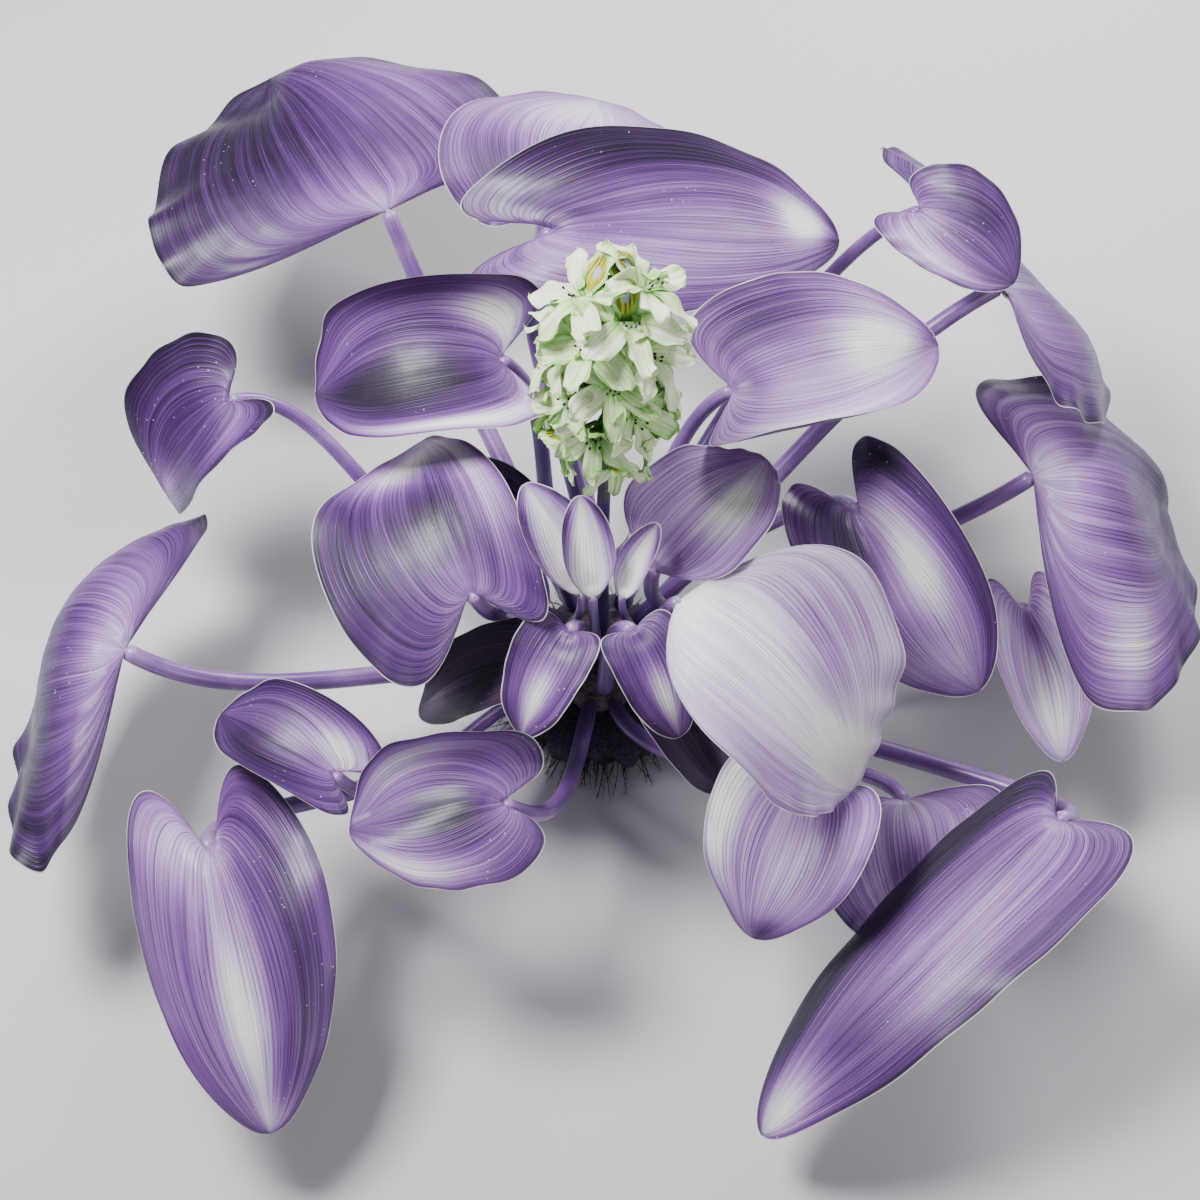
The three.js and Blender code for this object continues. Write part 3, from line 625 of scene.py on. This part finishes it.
        "width": 60, "cup": (40, 40), "tone": 0.36, "dark": 0.85,
        "sheenAndShade": [(0.6, 0.4, 0.3, 0.3, 0.35), (0.2, 0, 0.2, 0.6, -0.15)],
    },
    "leaf_back_right_fan": {
        "base": (258, 186, 200), "from": ("outer", 1), "heading": 25, "pitch": -35, "length": 120,
        "width": 250, "cup": (-15, -15), "curl": 45, "spread": 115, "lobe": 0.5, "skew": 0.2,
        "radius": 6, "tone": 0.36, "sheenAndShade": [(0.1, 0, 0.2, 0.6, 0.2), (0.7, 0.5, 0.3, 0.3, 0.14)],
    },
    "young_leaf_left": {
        **youngLeaf, "base": (-11, -51, 221), "from": ("inner", 3), "heading": 123, "pitch": 38,
        "length": 69, "width": 41, "cup": (50, 50), "curl": 15, "sheenAndShade": youngSheenAndShade(0, 0.25),
    },
    "young_leaf_middle": {
        **youngLeaf, "base": (-4, -54, 222), "from": ("inner", 4), "heading": 100, "pitch": 44,
        "length": 57, "width": 34, "cup": (60, 60), "curl": 10, "sheenAndShade": youngSheenAndShade(0.1, 0.25),
    },
    "young_leaf_right": {
        **youngLeaf, "base": (13, -53, 221), "from": ("inner", 5), "heading": 57, "pitch": 40,
        "length": 45, "width": 22, "radius": 2.5, "cup": (60, 60), "curl": 10,
        "sheenAndShade": youngSheenAndShade(0, 0.3),
    },
}


def leafAxes(leaf):  # along its length, to its left, and up from its face
    heading, pitch, roll = [math.radians(leaf[key]) for key in ("heading", "pitch", "roll")]
    along = np.array([math.cos(heading) * math.cos(pitch), math.sin(heading) * math.cos(pitch),
                      math.sin(pitch)])
    flat = np.array([-math.sin(heading), math.cos(heading), 0.0])
    left = flat * math.cos(roll) + np.cross(along, flat) * math.sin(roll)
    return along, left, np.cross(along, left)


def leafFrom(settings):
    leaf = dict(commonLeaf, **settings)
    leaf["axes"] = leafAxes(leaf)
    leaf["number"] = leaf["length"] * 0.37 + leaf["width"]  # sets its unevenness and veins apart
    theta = np.linspace(0, math.radians(leaf["spread"]), 101)
    leaf["halfWidth"] = (marginRadius(leaf, theta) * np.sin(theta)).max()
    return leaf


def marginRadius(leaf, theta):  # from the stalk's end, theta round from the tip, on a blade 1 long
    heart = leaf["lobe"] + (1 - leaf["lobe"]) * np.cos(theta / 2) ** 2
    point = leaf["tip"] * bell(theta, 0.28)
    notch = 1 - (theta / math.radians(leaf["spread"])) ** 20
    return (heart + point) / (1 + leaf["tip"]) * notch


# u runs from the stalk's end to the tip, v from the right margin, -1, to the left one, 1.
def bladeFlat(leaf, u, v):
    theta = math.radians(leaf["spread"]) * (1 - u)
    reach = marginRadius(leaf, theta)
    toMargin = np.abs(v) ** 1.6
    edgeX = leaf["length"] * reach * np.cos(theta)
    edgeY = leaf["width"] / 2 * reach * np.sin(theta) / leaf["halfWidth"]
    x = (1 - toMargin) * leaf["length"] * u + toMargin * edgeX - 4 * (1 - u) ** 3
    y = v * (edgeY * (1 + leaf["skew"] * np.sign(v)) + 3 * (1 - u) + 0.3)
    return x, y


def bladePoint(leaf, u, v):
    x, y = bladeFlat(leaf, u, v)
    deeper = 1 + leaf["funnel"] * (1 - np.clip(x / leaf["length"], 0, 1))
    cup = np.radians(np.where(v > 0, leaf["cup"][0], leaf["cup"][1])) * deeper
    cupRadius = leaf["width"] / 2 / np.where(np.abs(cup) < 0.001, 0.001, cup)
    across = cupRadius * np.sin(y / cupRadius)
    ripple = np.sin(2 * np.pi * leaf["waves"] * u + 1.7 * np.sign(v)) * np.sin(np.pi * u)
    lift = cupRadius * (1 - np.cos(y / cupRadius)) + leaf["wave"] * np.abs(v) ** 3 * ripple
    lift = lift + unevenness(leaf, u, v) - leaf["dip"] * bell(np.hypot(x, y), leaf["dipReach"])
    curlRadius = leaf["length"] / math.radians(leaf["curl"])
    bend = x / curlRadius
    forward = (curlRadius + lift) * np.sin(bend)
    upward = (curlRadius + lift) * np.cos(bend) - curlRadius
    along, left, up = leaf["axes"]
    base = np.array(leaf["base"])
    return base + np.outer(forward, along) + np.outer(across, left) + np.outer(upward, up)


# Slow swells over the blade, small ruffles along its margin and ridges that fade from the stalk.
def unevenness(leaf, u, v):
    size = leaf["width"] / 100
    seed = leaf["number"]
    swell = np.sin(5.1 * u + 2.2 * v + seed) + 0.7 * np.sin(3.7 * u - 4.3 * v + 1.7 * seed)
    ruffle = np.abs(v) ** 6 * np.sin(31 * u + 2 * np.sin(7 * u + seed) + np.sign(v))
    ridges = np.cos(2 * np.pi * 6 * v) * np.exp(-u / 0.35) * (1 - v ** 4)
    inside = np.clip(8 * u * (1 - u), 0, 1)
    return inside * size * (leaf["swell"] * swell + ruffle + 0.35 * ridges)


# The blade's normal, and how many millimetres a whole step of v is.
def bladeNormal(leaf, u, v):
    step = 0.004
    ahead = bladePoint(leaf, np.minimum(u + step, 1), v)
    ahead = ahead - bladePoint(leaf, np.maximum(u - step, 0), v)
    leftward = bladePoint(leaf, u, np.minimum(v + step, 1))
    leftward = leftward - bladePoint(leaf, u, np.maximum(v - step, -1))
    return unit(np.cross(ahead, leftward)), np.linalg.norm(leftward, axis=1) / (2 * step)


bladeSkin = {
    "columns": 176, "rows": 84, "youngColumns": 96, "youngRows": 48, "thickness": 0.7,
    "atStalk": 0.8, "thickeningReach": 0.1,  # shares of the stalk's radius and the blade's width
    "endTaper": 24,  # it thins out over one part in 24 of its length at either end
    "paleReach": 16,  # of the paler area where the stalk meets it
}


# The blade is a closed skin: each row of the grid goes once round the blade's cross-section.
def makeBlade(leaf, columns, rows):
    mesh, around, along = gridPoints(columns, rows)
    v = np.cos(2 * np.pi * around)
    side = np.sin(2 * np.pi * around)  # above 0 on the upper face
    u = along
    x, y = bladeFlat(leaf, u, v)
    fromStalk = np.hypot(x, y)
    normal, stretch = bladeNormal(leaf, u, v)
    thickening = leaf["radius"] * bladeSkin["atStalk"]
    thickening = thickening * bell(fromStalk, bladeSkin["thickeningReach"] * leaf["width"])
    fromEnd = np.minimum(u, 1 - u)
    half = (bladeSkin["thickness"] + thickening) / 2
    half = half * np.sqrt(1 - v ** 6) * np.clip(fromEnd * bladeSkin["endTaper"], 0, 1)
    points = bladePoint(leaf, u, v) + normal * (np.where(side > 0, 1, -1) * half)[:, None]

    tone = leaf["tone"] - 0.1 * np.abs(v) ** 3 + 0.15 * bell(fromStalk, bladeSkin["paleReach"])
    # each patch adds painted light to the tone: a painted highlight where its amount is above 0, painted
    # shade where it is below 0
    for placeU, placeV, sizeU, sizeV, paintedLight in leaf["sheenAndShade"]:
        tone = tone + leaf["sheenAndShadeStrength"] * paintedLight * bell(u - placeU, sizeU) * bell(v - placeV, sizeV)
    under = np.clip(0.5 - 4 * side * np.sqrt(1 - v ** 2 + 1e-9), 0, 1)
    wander = 1.3 * np.sin(0.05 * y + 3.1 * u + leaf["number"]) + 0.7 * np.sin(0.09 * y - 5.3 * u)
    flow = (v * leaf["width"] / 2 + wander, u * leaf["length"], leaf["number"])
    setPoints(mesh, points, flow, tone, (1 - np.abs(v)) * stretch, np.maximum(under, leaf["dark"]))
    return mesh


stalks = {
    "sides": 28, "rows": 72,
    "straightOut": 0.4, "straightIn": 0.3,  # how firmly the ends hold their direction
    "shortOfBlade": 3,
    "atBlade": 0.9,  # share of the radius left where it meets the blade
    "slimmer": 0.5,  # in millimetres, where it leaves the crown
}


def stalkRoute(leaf):
    ring = rings[leaf["from"][0]]
    turn = math.radians(ring["first"] + 360 * leaf["from"][1] / ring["places"])
    tilt = math.radians(ring["tilt"])
    facing = polar(turn, math.sin(tilt), math.cos(tilt))
    start = facing * (crown["radius"] + crown["gap"]) + np.array([0, 0, crown["centre"]])
    end = np.array(leaf["base"], float)
    distance = np.linalg.norm(end - start)
    along, left, up = leaf["axes"]
    rise = math.radians(leaf["rise"])
    arriving = along * math.cos(rise) + up * math.sin(rise)
    short = stalks["shortOfBlade"]
    leaving = start + facing * stalks["straightOut"] * distance
    nearing = end - arriving * (stalks["straightIn"] * distance + short)
    return [start, leaving, nearing, end - arriving * short]


def makeStalk(leaf):
    def radiusAt(t):
        plain = leaf["radius"] * (leaf["flare"] + (stalks["atBlade"] - leaf["flare"]) * t)
        return plain - stalks["slimmer"] * bell(t, 0.06)

    def tone(t):
        return leaf["stalkTone"] - 0.3 * np.exp(-t / 0.12) + 0.2 * np.exp(-(1 - t) / 0.06)

    return tubeMesh(stalkRoute(leaf), radiusAt, stalks["sides"], stalks["rows"], tone, leaf["number"])


def makeLeaf(name, settings):
    leaf = leafFrom(settings)
    young = name.startswith("young")
    columns, rows = bladeSkin["columns"], bladeSkin["rows"]
    if young:
        columns, rows = bladeSkin["youngColumns"], bladeSkin["youngRows"]
    meshes = [makeBlade(leaf, columns, rows), makeStalk(leaf)]
    slots = ["youngBlade" if young else "blade", "stalk"]
    addObject(name + "_fine", meshes, slots, name)


flowerRoute = [(0, 0, 76.4), (0, -8, 165), (2, -12, 258), (6, 38, 358)]
flowerStalk = {"radius": 6, "taper": 3.5, "sides": 24, "rows": 90, "greenFrom": 0.45, "greenOver": 0.35}


def makeFlowerStalk():
    def radiusAt(t):
        return flowerStalk["radius"] - flowerStalk["taper"] * t

    def tone(t):  # violet at the foot, green towards the flowers
        return 0.2 + 0.6 * np.clip((t - flowerStalk["greenFrom"]) / flowerStalk["greenOver"], 0, 1)

    mesh = tubeMesh(flowerRoute, radiusAt, flowerStalk["sides"], flowerStalk["rows"], tone)
    addObject("flower_stalk_fine", [mesh], ["flowerStalk"], "flower_stalk")


spathe = {
    "base": (2, -11, 196), "heading": -90, "pitch": 64, "length": 45, "width": 39, "cup": (70, 70),
    "spread": 75, "tip": 0.3, "wave": 0, "swell": 0.2, "tone": 0.4,
    # a painted highlight on the spathe
    "sheenAndShade": [(0.7, 0, 0.3, 0.4, 0.15)],
}


def makeSpathe():
    mesh = makeBlade(leafFrom(spathe), bladeSkin["youngColumns"], bladeSkin["youngRows"])
    addObject("spathe_fine", [mesh], ["blade"], "spathe")


head = {
    "count": 26, "from": 0.78, "to": 0.985,  # from and to are shares of the flower stalk
    "first": -30, "turn": 137.5,  # each floret stands this many degrees round from the last
    "lowestLift": -40, "highestLift": 62, "lowestSize": 0.6,
    "outFromAxis": 5.5,
}


def between(low, high, share):
    return low + (high - low) * share


def floretPlace(number):  # where a floret starts, which way it opens, and how big it is
    height = (number + 0.5) / head["count"]
    t = between(head["from"], head["to"], height)
    axis = bezierTangent(flowerRoute, t)
    lift = math.radians(between(head["lowestLift"], head["highestLift"], height ** 0.8))
    sideways = unit(np.cross(unit(np.cross([1.0, 0, 0], axis)), axis))
    turn = math.radians(head["turn"] * number + head["first"])
    sideways = sideways * math.cos(turn) + np.cross(axis, sideways) * math.sin(turn)
    facing = sideways * math.cos(lift) + axis * math.sin(lift)
    start = bezier(flowerRoute, t) + facing * head["outFromAxis"] / math.cos(lift)
    size = between(head["lowestSize"], 1, math.sqrt(height))
    return start, facing, axis, size, height


tepals = {
    "length": 35, "innerWidth": 18, "outerWidth": 14, "upperWidth": 22, "thickness": 0.35,
    "waist": 0.28,  # width at the tube, as a share of the full width
    "lowOpening": 44, "highOpening": 70, "upperOpening": 0.65,  # the upper tepal stands more upright
    "ruffle": 3.0, "fold": 1.6, "crease": 0.7, "droop": 10, "columns": 34, "rows": 26,
}
eyeSpot = {"at": 0.5, "length": 0.28, "width": 0.72}  # shares of the upper tepal


# One tepal: a closed skin that leaves the tube along the floret's axis and flares outwards, with a
# ruffled margin.
def makeTepal(start, axes, size, height, k, number, chance):
    facing, sideways, upward = axes
    angle = math.radians(90 + 60 * k)  # the first tepal is the upper one
    isUpper = k == 0
    mesh, around, w = gridPoints(tepals["columns"], tepals["rows"])
    v = np.cos(2 * np.pi * around)
    face = np.where(np.sin(2 * np.pi * around) > 0, 1, -1)
    length = tepals["length"] * size * chance.uniform(0.92, 1.05)
    width = size * tepals["upperWidth" if isUpper else "outerWidth" if k % 2 else "innerWidth"]
    swelling = np.clip(w / 0.62, 0, 1)
    end = np.sqrt(np.clip(1 - np.clip((w - 0.58) / 0.42, 0, 1) ** 2.2, 0, 1))
    half = width / 2 * between(tepals["waist"], 1, swelling ** 2 * (3 - 2 * swelling)) * end
    opening = between(tepals["lowOpening"], tepals["highOpening"], height) * chance.uniform(0.85, 1.12)
    opening = math.radians(opening * (tepals["upperOpening"] if isUpper else 1))
    bend = opening * np.sin(np.clip(w * 1.3, 0, 1) * math.pi / 2)
    bend = bend + chance.uniform(-0.2, 0.8) * np.clip(w - 0.6, 0, 1)  # the tip rolls back a little
    phase = chance.uniform(0, 6.28)
    ruffle = tepals["ruffle"] * size * v ** 2 * np.sin(14 * w + phase + 1.6 * np.sign(v)) * w
    fold = tepals["fold"] * size * np.abs(v) * np.sin(math.pi * np.clip(w * 1.1, 0, 1))
    crease = tepals["crease"] * size * np.cos(9 * v + phase) * np.clip(w - 0.15, 0, 1)
    skin = face * tepals["thickness"] / 2 * np.sqrt(1 - v ** 4) * np.clip(w * 20, 0, 1)
    lift = ruffle + fold + crease + skin
    radial = sideways * math.cos(angle) + upward * math.sin(angle)
    crosswise = np.cross(facing, radial)
    out = length * w * np.sin(bend) - lift * np.cos(bend)
    forward = length * w * np.cos(bend) + lift * np.sin(bend)
    points = (start + np.outer(forward, facing) + np.outer(2.0 * size + out, radial)
              + np.outer(v * half, crosswise))
    points[:, 2] -= tepals["droop"] * (1 - height) * w ** 2
    # The darker green down the midrib is painted shade in its crease, and the darker green on the back
    # of each tepal is painted shade.
    tone = 0.2 + 0.76 * np.clip(w / 0.5, 0, 1) ** 0.8 - 0.25 * v ** 4 - 0.25 * bell(v, 0.1)
    tone = tone - np.where(face < 0, 0.18, 0)  # greener on the back
    tone = tone + chance.uniform(-0.16, 0.08) - 0.1 * (1 - height)
    eye = 0.0
    if isUpper:
        eye = 1.2 * bell(w - eyeSpot["at"], eyeSpot["length"]) * bell(v, eyeSpot["width"])
    setPoints(mesh, points, (v * half, w * length, number * 7.3 + k), tone, eye=eye)
    return mesh


stamens = {
    "short": 9, "long": 15, "apart": 22, "radius": 0.28, "sides": 5, "rows": 8,
    "anther": (-1.3, -0.4, 0.4, 1.3), "antherSides": 8, "antherRows": 6,
}


# A stamen is a curved filament with a dark oval anther at its end.
def makeStamen(start, axes, angle, reach):
    facing, sideways, upward = axes
    radial = sideways * math.cos(angle) + upward * math.sin(angle)
    end = start + facing * reach + radial * reach * 0.45
    route = [start, start + facing * reach * 0.4, end - facing * reach * 0.3 - radial, end]
    radius = steady(stamens["radius"])
    filament = tubeMesh(route, radius, stamens["sides"], stamens["rows"], steady(0.8))
    tip = [end + facing * along for along in stamens["anther"]]

    def antherRadius(t):
        return 0.25 + 0.5 * np.sin(math.pi * t)

    anther = tubeMesh(tip, antherRadius, stamens["antherSides"], stamens["antherRows"], steady(0.5))
    return filament, anther


floretTube = {"length": 16, "radius": 1.5, "flare": 1.3, "sides": 12, "rows": 14}


def makeFloret(number, chance):
    start, facing, axis, size, height = floretPlace(number)
    upward = unit(axis - facing * np.dot(axis, facing))
    axes = (facing, np.cross(upward, facing), upward)
    tubeLength = floretTube["length"] * size
    mouth = start + facing * tubeLength
    tube = [start, start + facing * tubeLength * 0.35, start + facing * tubeLength * 0.7, mouth + facing]

    def radiusAt(t):
        return (floretTube["radius"] + floretTube["flare"] * t) * size

    def tone(t):
        return 0.05 + 0.25 * t

    petals = [tubeMesh(tube, radiusAt, floretTube["sides"], floretTube["rows"], tone, number)]
    for k in range(6):
        petals.append(makeTepal(mouth, axes, size, height, k, number, chance))
    filaments, anthers = [], []
    for k in range(6):  # three short stamens and three long ones
        angle = math.radians(-90 + stamens["apart"] * (k - 2.5) + chance.uniform(-12, 12))
        reach = stamens["short" if k % 2 else "long"] * size * chance.uniform(0.85, 1.15)
        filament, anther = makeStamen(mouth, axes, angle, reach)
        filaments.append(filament)
        anthers.append(anther)
    meshes = [joinMeshes(petals), joinMeshes(filaments), joinMeshes(anthers)]
    name = "floret_%02d" % (number + 1)
    addObject(name + "_fine", meshes, ["petal", "filament", "anther"], name)


def makeCrown():
    shape = bmesh.new()
    bmesh.ops.create_uvsphere(shape, u_segments=64, v_segments=40, radius=crown["radius"] * mm)
    bmesh.ops.translate(shape, verts=shape.verts, vec=(0, 0, crown["centre"] * mm))
    low = Vector(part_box("crown")[0])
    everything = shape.verts[:] + shape.edges[:] + shape.faces[:]
    bmesh.ops.bisect_plane(shape, geom=everything, plane_co=(0, 0, low.z), plane_no=(0, 0, -1),
                           clear_outer=True)
    bmesh.ops.holes_fill(shape, edges=[edge for edge in shape.edges if edge.is_boundary], sides=0)
    for vertex in shape.verts:
        x, y, z = vertex.co / mm
        turn = math.atan2(y, x)
        grooves = 0.8 * math.sin(15 * turn + 0.3 * z) + 0.5 * math.sin(0.9 * z + 2 * math.sin(3 * turn))
        inside = 1 - (1.0 + grooves) / crown["radius"]
        vertex.co.x *= inside
        vertex.co.y *= inside
    addObject("crown_fine", [meshFrom(shape, "crown")], ["crown"], "crown")


roots = {
    "strands": 210, "hairs": 34, "reach": 86, "height": 30, "core": 62,
    "lowestStart": 12, "innerStart": 16, "outerStart": 26,  # where strands leave the core
    "swing": 0.35, "strandRadius": (0.55, 0.95), "hairLength": (4, 9), "hairWidth": 0.32,
}


# A low lumpy core of tangled root, under separate strands that each carry fine side hairs.
def makeRoots(chance):
    meshes = [rootCore()]
    hairs = bmesh.new()
    for k in range(roots["strands"]):
        turn = 2 * math.pi * (k + chance.random()) / roots["strands"]
        reach = roots["reach"] * chance.uniform(0.72, 1.0)
        layer = chance.random()
        top = between(roots["lowestStart"], roots["height"] - 2, layer)
        swing = chance.uniform(-roots["swing"], roots["swing"])
        ends = [polar(turn, between(roots["innerStart"], roots["outerStart"], layer), top),
                polar(turn + 0.1 * swing, 0.5 * reach, top + 1),
                polar(turn + 0.6 * swing, 0.85 * reach, top * chance.uniform(0.35, 0.9)),
                polar(turn + swing, reach, chance.uniform(1.5, 5.0) + 0.25 * top * chance.random())]
        thick = chance.uniform(*roots["strandRadius"])
        meshes.append(tubeMesh(ends, lambda t: thick * (1.1 - 0.8 * t), 4, 12, steady(0.5)))
        addHairs(hairs, ends, chance)
    meshes.append(meshFrom(hairs, "hairs"))
    addObject("root_clump_fine", [joinMeshes(meshes)], ["root"], "root_clump")


def rootCore():
    shape = bmesh.new()
    bmesh.ops.create_uvsphere(shape, u_segments=72, v_segments=30, radius=1.0)
    half = roots["height"] / 2 - 0.6
    for vertex in shape.verts:
        turn = math.atan2(vertex.co.y, vertex.co.x)
        lumps = 1 + 0.05 * math.sin(9 * turn) + 0.04 * math.sin(23 * turn + 5 * vertex.co.z)
        flat = math.copysign(abs(vertex.co.z) ** 0.6, vertex.co.z)
        vertex.co.x *= roots["core"] * lumps * mm
        vertex.co.y *= roots["core"] * lumps * mm
        vertex.co.z = (half + 0.1 + flat * half * 0.98) * mm
    return meshFrom(shape, "core")


# Hairs are thin flat slips that stand out all round a strand.
def addHairs(shape, ends, chance):
    for _ in range(roots["hairs"]):
        t = chance.uniform(0.12, 1.0)
        base = bezier(ends, t)
        along = bezierTangent(ends, t)
        out = np.array([chance.gauss(0, 1), chance.gauss(0, 1), chance.gauss(0, 1)])
        out = unit(out - along * np.dot(out, along) + along * 0.8)
        tip = base + out * chance.uniform(*roots["hairLength"])
        tip[2] = min(max(tip[2], 0.4), roots["height"] + 2)
        base[2] = max(base[2], 0.5)
        wide = unit(np.cross(out, np.array([0.3, 0.5, 0.8]))) * roots["hairWidth"] / 2
        for first, second in ((base - wide, base + wide), (base + wide, base - wide)):
            shape.faces.new([shape.verts.new(Vector(p * mm)) for p in (first, second, tip)])


def addFloor():
    shape = bmesh.new()
    bmesh.ops.create_grid(shape, x_segments=1, y_segments=1, size=6)
    mesh = meshFrom(shape, "floor")
    floor = addToScene("floor", mesh)
    material, _, shader = newMaterial("palePaint")  # even matt paint, no pattern
    shader.inputs["Base Color"].default_value = linear("#d4d3d8")
    shader.inputs["Roughness"].default_value = 0.8
    mesh.materials.append(material)


addCamera()
addLights()
addFloor()
for leafName, leafSettings in leaves.items():
    makeLeaf(leafName, leafSettings)
print("leaves made")
makeFlowerStalk()
makeSpathe()
for floretNumber in range(head["count"]):
    makeFloret(floretNumber, random.Random(floretNumber))
print("flower head made")
makeCrown()
makeRoots(random.Random(7))
print("crown and roots made")
